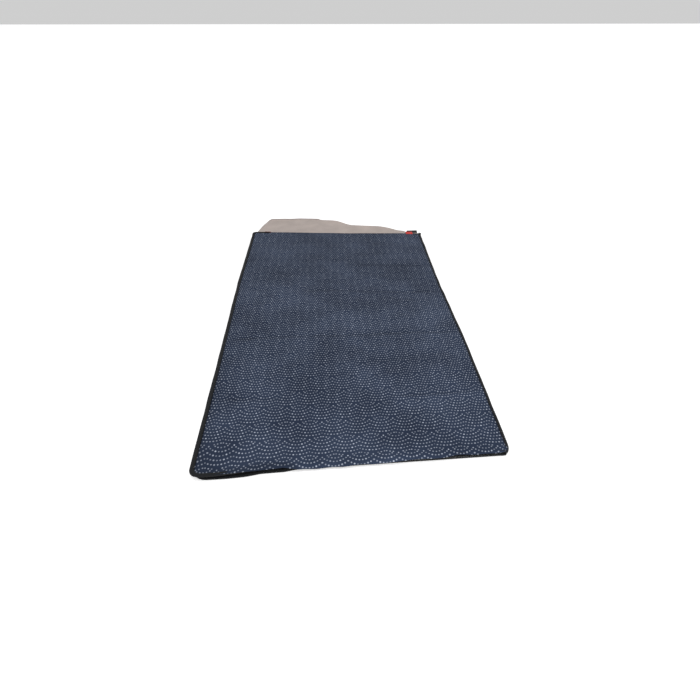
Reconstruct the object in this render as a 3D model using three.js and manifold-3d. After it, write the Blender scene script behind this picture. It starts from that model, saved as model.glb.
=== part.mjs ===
// Infrared sauna blanket: a flat bag of two heated halves that lie on each other. The cover turns about
// the fold on the +X side, two zips close the -X side and the foot, and a loose flap of lining lies
// past the head hem. Millimetres, +Z up, +Y towards the head; the origin is under the middle of the base.
import * as THREE from 'three';
import { mergeVertices } from 'three/addons/utils/BufferGeometryUtils.js';
import Module from 'manifold-3d';

const wasm = await Module();
wasm.setup();

// Overall sizes of the closed blanket, from edge to edge of the bindings
const width = 900;
const length = 1800;
const gap = 0.3; // free space between pieces that touch

// Layers of one half, from the outside of the bag to the inside
const layers = [
  { name: 'outer_shell', thickness: 1.0 },
  { name: 'insulation', thickness: 4.5 },
  { name: 'reflector', thickness: 0.4 },
  { name: 'heater_sheet', thickness: 0.6 },
  { name: 'heating_wire', thickness: 1.6 },
  { name: 'lining', thickness: 1.0 },
];
const pocketGap = 0.8; // between the two linings when the bag lies flat

// Black edge binding, and the fold strips on the hinge side
const edgeWidth = 12;
const footCornerRadius = 30;
const headCornerRadius = 14;
const foldCornerRadius = 10;
const hemReturnLeft = 88; // binding that turns round onto the cover's head hem, zip side
const hemReturnRight = 60; // the same, fold side

// Inner layers stop short of the binding
const paddingInset = 30;
const paddingHeadInset = 50;
const foilInset = 40;
const carrierInset = 50;
const layerCornerRadius = 12;

// Heating wire: straight runs joined by half-round turns
const wireRuns = 12;
const wireWidth = 2.4;
const wireSideMargin = 87;
const wireEndMargin = 95;

// Loose flap of lining past the head hem
const flap = { reach: 250, thickness: 1.0, lift: 0.6, seamDepth: 0.6 };
const flapNear = { fromZipSide: 10, fromFold: 75 }; // ends of its seam, from the blanket's long sides
const flapFar = { fromZipSide: 75, fromFold: 480 }; // ends of its far edge
const flapRun = 34; // distance over which the flap drops from the base to the floor
const taper = 1.6; // how late the flap narrows on its fold side
const edging = { width: 3, height: 1.6, lift: 0.3 };

// Zips, in a frame of their own: X along the zip, Y out from the side wall, Z up
const coil = { size: 2.3, out: 2.35, apart: 3.4 };
const tape = { thickness: 1.0, root: 3.0, rise: 2.3, margin: 1.5 };
const plate = { thickness: 1.5, lip: 0.6, lipHeight: 0.5, inside: 0.35, outside: 0.45 };
const slider = { length: 12, bridge: 4 };
const bail = { lug: 1.2, apart: 4.4, halfWidth: 2, pin: 0.8, cover: 0.5 };
const pull = { eye: 2.0, bore: 1.1, length: 30, width: 8, thickness: 1.4 };
const zipBox = { length: 7, clearance: 1 };
const zipPin = 8;
const zipStop = 3;
const sideZip = { footEnd: 4, headEnd: 6 }; // clear ends, from where the corners' round stretches start
const footZip = { zipEnd: 5, foldEnd: 15 };

// Lip of cover cloth that hangs over the foot zip
const placket = { fromZipSide: 260, clearance: 1.9, thickness: 1.2, lift: 3 };

// Power inlet at the head end of the fold side
const inlet = { width: 56, depth: 24, height: 15, lift: 0.5, fromFold: 2, radius: 3 };
const socket = { width: 30, height: 10, depth: 18, insert: 3, pins: 3, pitch: 8, pin: 1.2, pinLength: 9 };
// lead rows lie past the wire's ends
const lead = { width: 2.4, rowNear: 41, rowFar: 53, rowBranch: 65, slack: 2.6 };
const leadHole = 0.3; // free space round a lead

// Sensors between two wire runs, and the hem tabs
const sensor = { width: 5, length: 14, y: 120 };
const cutout = { width: 8, length: 22, y: -160 };
const hemTab = { width: 34, length: 20, thickness: 1.0, fromHem: 1, fromZipSide: 66, fromFold: 50 };

const finishes = {
  navyCloth: [0x2d3448, 0.9, 0],
  blackCloth: [0x15161a, 0.85, 0],
  wadding: [0xd8d6d0, 0.95, 0],
  foil: [0xc9ccd0, 0.25, 1],
  carrier: [0xe6e2d8, 0.9, 0],
  wireJacket: [0x9c2f22, 0.5, 0],
  lining: [0xbeb3ad, 0.7, 0],
  edging: [0x6a5148, 0.8, 0],
  webbing: [0xc0241c, 0.8, 0],
  nylon: [0x1a1b1e, 0.5, 0],
  zipMetal: [0x2a2b2e, 0.35, 1],
  moulding: [0x18191b, 0.55, 0],
  contact: [0xc9a45a, 0.3, 1],
  ceramic: [0xe9e6df, 0.4, 0],
};

const blanket = new THREE.Group();

function add(name, geometry, finish, parent = blanket) {
  const [color, roughness, metalness] = finishes[finish];
  const mesh = new THREE.Mesh(geometry, new THREE.MeshStandardMaterial({ color, roughness, metalness }));
  mesh.name = name;
  parent.add(mesh);
  return mesh;
}

// Solids: helpers that make closed shapes

const arcHandle = 0.5523; // handle length that makes a Bezier curve a quarter circle

// Closed outline through [x, y, corner radius] points
function outline(points) {
  const shape = new THREE.Shape();
  points.forEach(([x, y, radius], i) => {
    const corner = new THREE.Vector2(x, y);
    const before = new THREE.Vector2(...points[(i + points.length - 1) % points.length]).sub(corner);
    const after = new THREE.Vector2(...points[(i + 1) % points.length]).sub(corner);
    const from = corner.clone().add(before.setLength(radius));
    const to = corner.clone().add(after.setLength(radius));
    if (i === 0) shape.moveTo(from.x, from.y);
    else shape.lineTo(from.x, from.y);
    if (radius > 0) {
      const near = from.clone().lerp(corner, arcHandle);
      const far = to.clone().lerp(corner, arcHandle);
      shape.bezierCurveTo(near.x, near.y, far.x, far.y, to.x, to.y);
    }
  });
  shape.closePath();
  return shape;
}

function rectangle(x0, y0, x1, y1, radii = [0, 0, 0, 0]) {
  return outline([[x0, y0, radii[0]], [x1, y0, radii[1]], [x1, y1, radii[2]], [x0, y1, radii[3]]]);
}

// Flat piece with that outline, from z0 up to z1
function slab(shape, [z0, z1]) {
  const settings = { depth: z1 - z0, bevelEnabled: false, curveSegments: 5 };
  const geometry = new THREE.ExtrudeGeometry(shape, settings);
  return geometry.translate(0, 0, z0);
}

function box([x0, y0, z0], [x1, y1, z1]) {
  const geometry = new THREE.BoxGeometry(x1 - x0, y1 - y0, z1 - z0);
  return geometry.translate((x0 + x1) / 2, (y0 + y1) / 2, (z0 + z1) / 2);
}

// Upright cylinder centred on x, y, from z0 up to z1
function post(x, y, radius, [z0, z1]) {
  const geometry = new THREE.CylinderGeometry(radius, radius, z1 - z0, 20);
  return geometry.rotateX(Math.PI / 2).translate(x, y, (z0 + z1) / 2);
}

function toSolid(geometry) {
  const bare = geometry.clone();
  bare.deleteAttribute('normal');
  bare.deleteAttribute('uv');
  const merged = mergeVertices(bare, 1e-3);
  return new wasm.Manifold(new wasm.Mesh({
    numProp: 3,
    vertProperties: new Float32Array(merged.attributes.position.array),
    triVerts: new Uint32Array(merged.index.array),
  }));
}

function toGeometry(solid) {
  const mesh = solid.getMesh();
  const geometry = new THREE.BufferGeometry();
  geometry.setAttribute('position', new THREE.BufferAttribute(mesh.vertProperties, 3));
  geometry.setIndex(new THREE.BufferAttribute(mesh.triVerts, 1));
  return geometry;
}

function joined(...geometries) {
  return toGeometry(geometries.map(toSolid).reduce((whole, piece) => whole.add(piece)));
}

function cut(geometry, ...holes) {
  return toGeometry(holes.map(toSolid).reduce((whole, hole) => whole.subtract(hole), toSolid(geometry)));
}

// Outline of a flat strip that follows a centreline, with mitred corners
function strip(centreline, stripWidth) {
  const sideA = [];
  const sideB = [];
  centreline.forEach((point, i) => {
    const into = point.clone().sub(centreline[Math.max(i - 1, 0)]).normalize();
    const out = centreline[Math.min(i + 1, centreline.length - 1)].clone().sub(point).normalize();
    const along = into.add(out).normalize();
    const turn = out.lengthSq() > 0 ? Math.max(Math.abs(along.dot(out)), 0.5) : 1;
    const side = new THREE.Vector2(-along.y, along.x).multiplyScalar(stripWidth / 2 / turn);
    sideA.push(point.clone().add(side));
    sideB.unshift(point.clone().sub(side));
  });
  return new THREE.Shape([...sideA, ...sideB]);
}

// The two halves: base and cover

const halfThickness = layers.reduce((sum, layer) => sum + layer.thickness, 0) + gap * (layers.length - 1);
const totalThickness = 2 * halfThickness + pocketGap;
const right = width / 2;
const left = -right;
const head = length / 2;
const foot = -head;
const foldEdge = right - edgeWidth;
const middle = totalThickness / 2;

// Height of a layer's underside and top, in the base or, upside down, in the cover
function span(half, layerName) {
  let outer = 0;
  for (const layer of layers) {
    if (layer.name === layerName) {
      const inner = outer + layer.thickness;
      return half === 'base' ? [outer, inner] : [totalThickness - inner, totalThickness - outer];
    }
    outer += layer.thickness + gap;
  }
  throw new Error(`no layer named ${layerName}`);
}

function halfSpan(half) {
  return half === 'base' ? [0, halfThickness] : [totalThickness - halfThickness, totalThickness];
}

// Binding along the foot, the zip side and the head, where its run ends at headEnd
function bindingOutline(headEnd) {
  const foldSide = foldEdge - gap;
  return outline([
    [foldSide, foot + edgeWidth, 0],
    [left + edgeWidth, foot + edgeWidth, footCornerRadius - edgeWidth],
    [left + edgeWidth, head - edgeWidth, headCornerRadius - edgeWidth],
    [headEnd, head - edgeWidth, 0],
    [headEnd, head, 0],
    [left, head, headCornerRadius],
    [left, foot, footCornerRadius],
    [foldSide, foot, 0],
  ].reverse());
}

// Cloth inside the binding; the cover's runs on to the head hem between the two returns
function clothOutline(half) {
  const inset = edgeWidth + gap;
  const hem = head - inset;
  const corners = [
    [left + inset, foot + inset, footCornerRadius - inset],
    [right - inset, foot + inset, 0],
    [right - inset, hem, 0],
  ];
  if (half === 'cover') {
    corners.push([right - hemReturnRight - gap, hem, 0], [right - hemReturnRight - gap, head, 0]);
    corners.push([left + hemReturnLeft + gap, head, 0], [left + hemReturnLeft + gap, hem, 0]);
  }
  corners.push([left + inset, hem, headCornerRadius - inset]);
  return outline(corners);
}

function foldOutline(half) {
  if (half === 'base') {
    return rectangle(foldEdge, foot, right, head, [0, foldCornerRadius, 0, 0]);
  }
  return outline([
    [foldEdge, foot, 0],
    [right, foot, foldCornerRadius],
    [right, head, 0],
    [right - hemReturnRight, head, 0],
    [right - hemReturnRight, head - edgeWidth, 0],
    [foldEdge, head - edgeWidth, 0],
  ]);
}

function innerOutline(inset, headInset = inset) {
  const radii = Array(4).fill(layerCornerRadius);
  return rectangle(left + inset, foot + inset, right - inset, head - headInset, radii);
}

const wireSide = right - wireSideMargin;
const wireEnd = head - wireEndMargin;
const wirePitch = (2 * wireSide) / (wireRuns - 1);

// Runs along the blanket, joined by half circles; both ends are at the head
function wireCentreline() {
  const points = [];
  const turnSteps = 8;
  const radius = wirePitch / 2;
  for (let run = 0; run < wireRuns; run += 1) {
    const x = -wireSide + run * wirePitch;
    const towardsFoot = run % 2 === 0;
    const turnY = (wireEnd - radius) * (towardsFoot ? -1 : 1);
    if (run === 0) points.push(new THREE.Vector2(x, wireEnd));
    if (run === wireRuns - 1) {
      points.push(new THREE.Vector2(x, wireEnd));
      break;
    }
    for (let step = 0; step <= turnSteps; step += 1) {
      const angle = Math.PI - (Math.PI * step) / turnSteps;
      const bulge = radius * Math.sin(angle) * (towardsFoot ? -1 : 1);
      points.push(new THREE.Vector2(x + radius + radius * Math.cos(angle), turnY + bulge));
    }
  }
  return points;
}

function leadStrip(points) {
  return strip(points.map(([x, y]) => new THREE.Vector2(x, y)), lead.width);
}

function buildHalf(half) {
  const shellFinish = half === 'base' ? 'blackCloth' : 'navyCloth';
  add(`${half}_outer_shell`, slab(clothOutline(half), span(half, 'outer_shell')), shellFinish);
  const padding = innerOutline(paddingInset, paddingHeadInset);
  add(`${half}_insulation`, slab(padding, span(half, 'insulation')), 'wadding');
  const foilOutline = innerOutline(foilInset, paddingHeadInset);
  add(`${half}_reflector`, slab(foilOutline, span(half, 'reflector')), 'foil');
  const carrier = innerOutline(carrierInset, paddingHeadInset);
  add(`${half}_heater_sheet`, slab(carrier, span(half, 'heater_sheet')), 'carrier');
  const wireHeight = span(half, 'heating_wire');
  add(`${half}_heating_wire`, slab(strip(wireCentreline(), wireWidth), wireHeight), 'wireJacket');
  add(`${half}_lining`, slab(clothOutline(half), span(half, 'lining')), 'lining');
  add(`${half}_fold_edge`, slab(foldOutline(half), halfSpan(half)), 'blackCloth');
  const between = -wireSide + (wireRuns / 2 - 0.5) * wirePitch;
  for (const [name, item] of [['temperature_sensor', sensor], ['thermal_cutout', cutout]]) {
    const reach = [item.width / 2, item.length / 2];
    const shape = rectangle(between - reach[0], item.y - reach[1], between + reach[0], item.y + reach[1]);
    add(`${half}_${name}`, slab(shape, wireHeight), 'ceramic');
  }
}

// Power inlet and leads

const socketX = right - inlet.fromFold - inlet.width / 2;
const inletBack = head + gap;
const leadStart = wireEnd + gap;
const leadX = {
  far: socketX - socket.pitch,
  near: socketX + socket.pitch / 2,
  branch: socketX + socket.pitch,
};
const leadEnd = inletBack + inlet.depth - socket.depth - gap;
const rowNear = wireEnd + lead.rowNear;
const rowFar = wireEnd + lead.rowFar;
const rowBranch = wireEnd + lead.rowBranch;

// Base leads run through the head binding into the inlet; the cover's run to the fold
function leadRoutes() {
  const foldReach = foldEdge - 2 * gap;
  const branchGap = foldReach - lead.slack;
  return {
    base_lead_near: [
      [wireSide, leadStart], [wireSide, rowNear], [leadX.near, rowNear], [leadX.near, leadEnd],
    ],
    base_lead_far: [[-wireSide, leadStart], [-wireSide, rowFar], [leadX.far, rowFar], [leadX.far, leadEnd]],
    base_branch_lead: [[foldReach, rowBranch], [leadX.branch, rowBranch], [leadX.branch, leadEnd]],
    cover_lead_near: [[wireSide, leadStart], [wireSide, rowNear], [branchGap, rowNear],
      [branchGap, rowFar - lead.width - 2 * gap]],
    cover_lead_far: [[-wireSide, leadStart], [-wireSide, rowFar], [foldReach, rowFar]],
  };
}

function leadPassages(y0, y1) {
  const [z0, z1] = span('base', 'heating_wire');
  const reach = lead.width / 2 + leadHole;
  return Object.values(leadX).map((x) => (
    box([x - reach, y0, z0 - leadHole], [x + reach, y1, z1 + leadHole])
  ));
}

function buildInlet() {
  const x0 = socketX - inlet.width / 2;
  const back = inletBack;
  const front = back + inlet.depth;
  const top = inlet.lift + inlet.height;
  const centre = (inlet.lift + top) / 2;
  const corner = Array(4).fill(inlet.radius);
  const shell = slab(rectangle(x0, back, x0 + inlet.width, front, corner), [inlet.lift, top]);
  const recess = box(
    [socketX - socket.width / 2, front - socket.depth, centre - socket.height / 2],
    [socketX + socket.width / 2, front + 1, centre + socket.height / 2],
  );
  add('inlet_housing', cut(shell, recess, ...leadPassages(back - 1, front - socket.depth + 1)), 'moulding');

  const insertFront = front - socket.depth + gap + socket.insert;
  const insert = box(
    [socketX - socket.width / 2 + gap, front - socket.depth + gap, centre - socket.height / 2 + gap],
    [socketX + socket.width / 2 - gap, insertFront, centre + socket.height / 2 - gap],
  );
  add('inlet_insert', insert, 'ceramic');
  for (let i = 0; i < socket.pins; i += 1) {
    const contact = new THREE.CylinderGeometry(socket.pin, socket.pin, socket.pinLength, 16);
    const x = socketX + (i - (socket.pins - 1) / 2) * socket.pitch;
    contact.translate(x, insertFront + gap + socket.pinLength / 2, centre);
    add(`inlet_pin_${i + 1}`, contact, 'contact');
  }
}

// Head flap

// Loose sheet that drops from the base's head edge to the floor and tapers towards the fold side
function buildFlap() {
  const rows = 10;
  const columns = 8;
  const drop = halfThickness - flap.seamDepth - flap.thickness - flap.lift;
  const farLeft = left + flapFar.fromZipSide;
  const farRight = right - flapFar.fromFold;
  const geometry = new THREE.BoxGeometry(1, 1, 1, columns, rows, 1);
  const position = geometry.attributes.position;
  for (let i = 0; i < position.count; i += 1) {
    const u = position.getX(i) + 0.5;
    const v = position.getY(i) + 0.5;
    const out = flap.reach * v;
    const leftEdge = THREE.MathUtils.lerp(left + flapNear.fromZipSide, farLeft, v);
    const rightEdge = THREE.MathUtils.lerp(right - flapNear.fromFold, farRight, v ** taper);
    const fall = 1 - THREE.MathUtils.smoothstep(out, 0, flapRun);
    const rise = position.getZ(i) > 0 ? flap.thickness : 0;
    const x = THREE.MathUtils.lerp(leftEdge, rightEdge, u);
    position.setXYZ(i, x, head + gap + out, flap.lift + drop * fall + rise);
  }
  add('neck_flap', geometry, 'lining');
  const far = head + gap + flap.reach + gap;
  const edgingTop = edging.lift + edging.height;
  const farEdge = box([farLeft, far, edging.lift], [farRight, far + edging.width, edgingTop]);
  add('neck_flap_edging', farEdge, 'edging');
}

// Zips: side and foot

const coilLow = middle - coil.apart / 2 - coil.size;
const channel = { inner: coil.out - plate.inside, outer: coil.out + coil.size + plate.outside };
const plateHeight = coil.apart + 2 * (coil.size + gap + plate.lipHeight);
const pinOut = channel.outer + plate.thickness + pull.eye + gap;
const lugReach = pull.eye + gap + bail.pin + bail.cover;
const neckLength = Math.hypot(bail.halfWidth, pull.eye + gap) + gap; // clears the lugs all the way round

// Cross-section of a tape in Y and Z: sewn root on the wall, then out to the middle of the coil
function tapeSection() {
  const inner = coil.out + coil.size / 2 - tape.thickness / 2;
  const outer = inner + tape.thickness;
  const bottom = tape.margin;
  const top = coilLow - gap;
  const knee = top - tape.rise + tape.thickness;
  return [
    [gap, bottom], [gap + tape.thickness, bottom], [gap + tape.thickness, bottom + tape.root - 0.6],
    [outer, knee - 1], [outer, top], [inner, top], [inner, knee - 0.6], [gap, bottom + tape.root],
  ];
}

// Solid of a Y-Z section between two places along the zip; the cover's is the base's upside down
function along(section, half, from, to) {
  const points = section.map(([y, z]) => new THREE.Vector2(y, half === 'base' ? z : totalThickness - z));
  if (half === 'cover') points.reverse();
  const [start, end] = [Math.min(from, to), Math.max(from, to)];
  const settings = { depth: end - start, bevelEnabled: false };
  const geometry = new THREE.ExtrudeGeometry(new THREE.Shape(points), settings);
  const turn = new THREE.Matrix4().makeBasis(
    new THREE.Vector3(0, 1, 0),
    new THREE.Vector3(0, 0, 1),
    new THREE.Vector3(1, 0, 0),
  );
  return geometry.applyMatrix4(turn).translate(start, 0, 0);
}

function block(y0, z0, y1, z1) {
  return [[y0, z0], [y1, z0], [y1, z1], [y0, z1]];
}

// Slider body: two lipped plates, the bridge between them, and two lugs with a pin for the pull
function sliderGeometry(centre, ahead) {
  const low = middle - plateHeight / 2;
  const high = middle + plateHeight / 2;
  const lipHigh = coilLow - gap;
  const [back, front] = [centre - slider.length / 2, centre + slider.length / 2];
  const backFace = channel.inner - plate.thickness;
  const frontFace = channel.outer + plate.thickness;
  const bridgeFrom = centre + ahead * (slider.length / 2 - 1 - slider.bridge);
  const bridgeTo = bridgeFrom + ahead * slider.bridge;
  const bridgeHalf = coil.apart / 2 - 0.5;
  const pieces = [
    box([back, backFace, low], [front, channel.inner, high]),
    box([back, channel.outer, low], [front, frontFace, high]),
    box(
      [Math.min(bridgeFrom, bridgeTo), channel.inner - 0.2, middle - bridgeHalf],
      [Math.max(bridgeFrom, bridgeTo), channel.outer + 0.2, middle + bridgeHalf],
    ),
  ];
  for (const [z0, z1] of [[low, lipHigh], [totalThickness - lipHigh, high]]) {
    pieces.push(box([back, channel.inner - 0.2, z0], [front, channel.inner + plate.lip, z1]));
    pieces.push(box([back, channel.outer - plate.lip, z0], [front, channel.outer + 0.2, z1]));
  }
  for (const side of [-1, 1]) {
    const near = middle + (side * bail.apart) / 2;
    const z = [Math.min(near, near + side * bail.lug), Math.max(near, near + side * bail.lug)];
    pieces.push(box([centre - bail.halfWidth, frontFace - 0.2, z[0]],
      [centre + bail.halfWidth, frontFace + lugReach, z[1]]));
  }
  const pinReach = bail.apart / 2 + 0.2;
  pieces.push(post(centre, pinOut, bail.pin, [middle - pinReach, middle + pinReach]));
  return joined(...pieces);
}

// Pull tab: an eye round the lug pin, a neck, and a plate that lies back along the zip
function pullGeometry(centre, ahead) {
  const half = bail.apart / 2 - gap;
  const y = [pinOut - pull.thickness / 2, pinOut + pull.thickness / 2];
  const neckEnd = centre - ahead * neckLength;
  const tip = centre - ahead * pull.length;
  const neckFrom = Math.min(centre, neckEnd - ahead);
  const neckTo = Math.max(centre, neckEnd - ahead);
  const eye = post(centre, pinOut, pull.eye, [middle - half, middle + half]);
  const neck = box([neckFrom, y[0], middle - half], [neckTo, y[1], middle + half]);
  const grip = box(
    [Math.min(neckEnd, tip), y[0], middle - pull.width / 2],
    [Math.max(neckEnd, tip), y[1], middle + pull.width / 2],
  );
  const bore = post(centre, pinOut, pull.bore, [middle - half - 1, middle + half + 1]);
  return cut(joined(eye, neck, grip), bore);
}

// One zip. It opens at start, where its slider is parked, and closes towards end.
function buildZip(name, start, end, wall) {
  const ahead = Math.sign(end - start);
  const at = (distance) => start + ahead * distance;
  const parked = at(zipBox.length + zipBox.clearance + slider.length / 2);
  const pinStart = zipBox.length + slider.length + 2 * zipBox.clearance;
  const stopStart = end - ahead * zipStop;
  const wire = block(coil.out, coilLow, coil.out + coil.size, coilLow + coil.size);
  const stop = block(channel.inner, coilLow, channel.outer, coilLow + coil.size + gap);
  add(`base_${name}_zip_tape`, along(tapeSection(), 'base', start, end), 'blackCloth', wall);
  add(`cover_${name}_zip_tape`, along(tapeSection(), 'cover', start, end), 'blackCloth', wall);
  const coilStart = at(zipBox.length + gap);
  const coilEnd = stopStart - ahead * gap;
  add(`base_${name}_zip_coil`, along(wire, 'base', coilStart, coilEnd), 'nylon', wall);
  const coverCoilStart = at(pinStart + zipPin + gap);
  add(`cover_${name}_zip_coil`, along(wire, 'cover', coverCoilStart, coilEnd), 'nylon', wall);
  add(`${name}_zip_box`, along(stop, 'base', start, at(zipBox.length)), 'nylon', wall);
  add(`${name}_zip_pin`, along(wire, 'cover', at(pinStart), at(pinStart + zipPin)), 'nylon', wall);
  add(`base_${name}_zip_stop`, along(stop, 'base', stopStart, end), 'nylon', wall);
  add(`cover_${name}_zip_stop`, along(stop, 'cover', stopStart, end), 'nylon', wall);
  add(`${name}_zip_slider`, sliderGeometry(parked, ahead), 'zipMetal', wall);
  add(`${name}_zip_pull`, pullGeometry(parked, ahead), 'zipMetal', wall);
}

// Assembly

buildHalf('base');
buildHalf('cover');

const baseBinding = slab(bindingOutline(foldEdge - gap), halfSpan('base'));
add('base_binding', cut(baseBinding, ...leadPassages(head - edgeWidth - 1, head + 1)), 'blackCloth');
add('cover_binding', slab(bindingOutline(left + hemReturnLeft), halfSpan('cover')), 'blackCloth');

for (const [name, route] of Object.entries(leadRoutes())) {
  const half = name.startsWith('base') ? 'base' : 'cover';
  add(name, slab(leadStrip(route), span(half, 'heating_wire')), 'wireJacket');
}
buildInlet();
buildFlap();

const sideWall = new THREE.Group();
sideWall.position.set(left, 0, 0);
sideWall.rotation.z = Math.PI / 2;
blanket.add(sideWall);
const sideZipEnds = [foot + footCornerRadius + sideZip.footEnd, head - headCornerRadius - sideZip.headEnd];
buildZip('side', ...sideZipEnds, sideWall);

const footWall = new THREE.Group();
footWall.position.set(0, foot, 0);
footWall.rotation.z = Math.PI;
blanket.add(footWall);
const footZipEnds = [right - footCornerRadius - footZip.zipEnd, left + foldCornerRadius + footZip.foldEnd];
buildZip('foot', ...footZipEnds, footWall);

// Foot placket: sewn on top of the cover's foot edge, it hangs down outside the zip
const placketOut = foot - pinOut - pull.eye - placket.clearance;
const placketTop = [totalThickness - placket.thickness, totalThickness];
const [placketStart, placketEnd] = [left + placket.fromZipSide, right - gap];
add('cover_foot_placket', joined(
  box([placketStart, placketOut - placket.thickness, placket.lift], [placketEnd, placketOut, placketTop[1]]),
  box([placketStart, placketOut - 0.2, placketTop[0]], [placketEnd, foot - gap, placketTop[1]]),
), 'navyCloth');

// Red tape tabs, sewn on top of the cover at both ends of its head hem
const hemTabStarts = { left: left + hemTab.fromZipSide, right: right - hemTab.fromFold - hemTab.width };
for (const [side, x] of Object.entries(hemTabStarts)) {
  const under = totalThickness + gap;
  const end = head - hemTab.fromHem;
  const tab = box([x, end - hemTab.length, under], [x + hemTab.width, end, under + hemTab.thickness]);
  add(`hem_tab_${side}`, tab, 'webbing');
}

export default blanket;
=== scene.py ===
import math

import bpy
import numpy as np
from mathutils import Matrix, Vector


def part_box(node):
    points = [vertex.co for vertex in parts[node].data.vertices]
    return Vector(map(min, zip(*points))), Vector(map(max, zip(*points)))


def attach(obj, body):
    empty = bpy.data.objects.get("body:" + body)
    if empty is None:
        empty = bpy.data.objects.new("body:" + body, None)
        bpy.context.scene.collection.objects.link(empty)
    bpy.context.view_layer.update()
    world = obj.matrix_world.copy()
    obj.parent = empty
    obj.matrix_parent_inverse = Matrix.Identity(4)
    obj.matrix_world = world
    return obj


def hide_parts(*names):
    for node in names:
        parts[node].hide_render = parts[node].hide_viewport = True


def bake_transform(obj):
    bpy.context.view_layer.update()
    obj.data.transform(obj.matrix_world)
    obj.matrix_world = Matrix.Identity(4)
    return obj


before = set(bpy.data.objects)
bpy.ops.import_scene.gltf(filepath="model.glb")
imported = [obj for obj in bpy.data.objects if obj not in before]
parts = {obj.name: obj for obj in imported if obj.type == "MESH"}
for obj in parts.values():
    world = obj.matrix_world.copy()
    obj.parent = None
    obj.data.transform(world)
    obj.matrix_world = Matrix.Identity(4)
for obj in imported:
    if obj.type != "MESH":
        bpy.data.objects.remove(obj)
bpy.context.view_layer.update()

print("frame loaded:", len(parts), "parts")


# small helpers for materials and meshes

def linear(hexColour):
    channels = [int(hexColour[i:i + 2], 16) / 255 for i in (0, 2, 4)]
    return [c / 12.92 if c <= 0.04045 else ((c + 0.055) / 1.055) ** 2.4 for c in channels] + [1.0]


def newMaterial(name):
    made = bpy.data.materials.new(name)
    made.use_nodes = True
    made.node_tree.nodes.clear()
    return made, made.node_tree


def add(tree, kind, settings=None, links=None):
    # kind: a shader node's type; settings: attributes or inputs; links: input -> output socket
    made = tree.nodes.new("ShaderNode" + kind)
    for key, value in (settings or {}).items():
        if isinstance(key, str) and hasattr(made, key):
            setattr(made, key, value)
        else:
            made.inputs[key].default_value = value
    for key, socket in (links or {}).items():
        tree.links.new(socket, made.inputs[key])
    return made


def finishMaterial(made, tree, surface):
    add(tree, "OutputMaterial", {}, {"Surface": surface})
    return made


def makeMesh(name, points, faces, cut=None, smooth=True):
    mesh = bpy.data.meshes.new(name)
    mesh.from_pydata([tuple(p) for p in points], [], [tuple(f) for f in faces])
    mesh.polygons.foreach_set("use_smooth", [smooth] * len(mesh.polygons))
    if cut is not None:
        corner = np.empty(len(mesh.loops), np.int32)
        mesh.loops.foreach_get("vertex_index", corner)
        layer = mesh.uv_layers.new(name="cutPlan")       # metres on the flat cloth
        layer.data.foreach_set("uv", np.asarray(cut, np.float32)[corner].ravel())
    made = bpy.data.objects.new(name, mesh)
    bpy.context.scene.collection.objects.link(made)
    return made


def gridFaces(columns, rows, start=0, flip=False):
    i, j = np.meshgrid(np.arange(columns - 1), np.arange(rows - 1), indexing="ij")
    a = (start + i * rows + j).ravel()
    quads = np.stack([a, a + rows, a + rows + 1, a + 1], 1)
    return quads[:, ::-1] if flip else quads


def clothMesh(name, across, along, place, thickness, material, back=None, cutAt=None):
    # a thin cloth: place(X, Y) gives the outer face for flat coordinates in metres
    gridX, gridY = np.meshgrid(across, along, indexing="ij")
    px, py, pz = place(gridX, gridY)
    cutX, cutY = (gridX, gridY) if cutAt is None else cutAt(gridX, gridY)
    made = makeMesh(name, np.stack([px.ravel(), py.ravel(), pz.ravel()], 1),
                    gridFaces(len(across), len(along)), cut=np.stack([cutX.ravel(), cutY.ravel()], 1))
    made.data.materials.append(material)
    solid = made.modifiers.new("clothThickness", "SOLIDIFY")
    solid.thickness = thickness
    solid.offset = -1
    if back is not None:
        made.data.materials.append(back)
        solid.material_offset = 1
    return made


def padMesh(name, across, along, top, bottom, rim, material):
    # a soft pad on a flat bottom: its faces round over into each other within rim of the edge
    gridX, gridY = np.meshgrid(across, along, indexing="ij")
    high, low = top(gridX, gridY), 0 * gridX + bottom
    edge = np.minimum(np.minimum(gridX - across[0], across[-1] - gridX),
                      np.minimum(gridY - along[0], along[-1] - gridY))
    full = np.sqrt(1 - (1 - np.clip(edge / rim, 0, 1)) ** 2)
    middle, half = (high + low) / 2, (high - low) / 2 * full
    columns, rows = gridX.shape
    upper = np.stack([gridX, gridY, middle + half], -1).reshape(-1, 3)
    inner = np.zeros((columns, rows), bool)
    inner[1:-1, 1:-1] = True
    below = np.arange(columns * rows)
    below[inner.ravel()] = columns * rows + np.arange(inner.sum())
    lower = np.stack([gridX, gridY, middle - half], -1).reshape(-1, 3)[inner.ravel()]
    faces = np.concatenate([gridFaces(columns, rows), below[gridFaces(columns, rows, flip=True)]])
    made = makeMesh(name, np.concatenate([upper, lower]), faces)
    made.data.materials.append(material)
    return made


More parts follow.
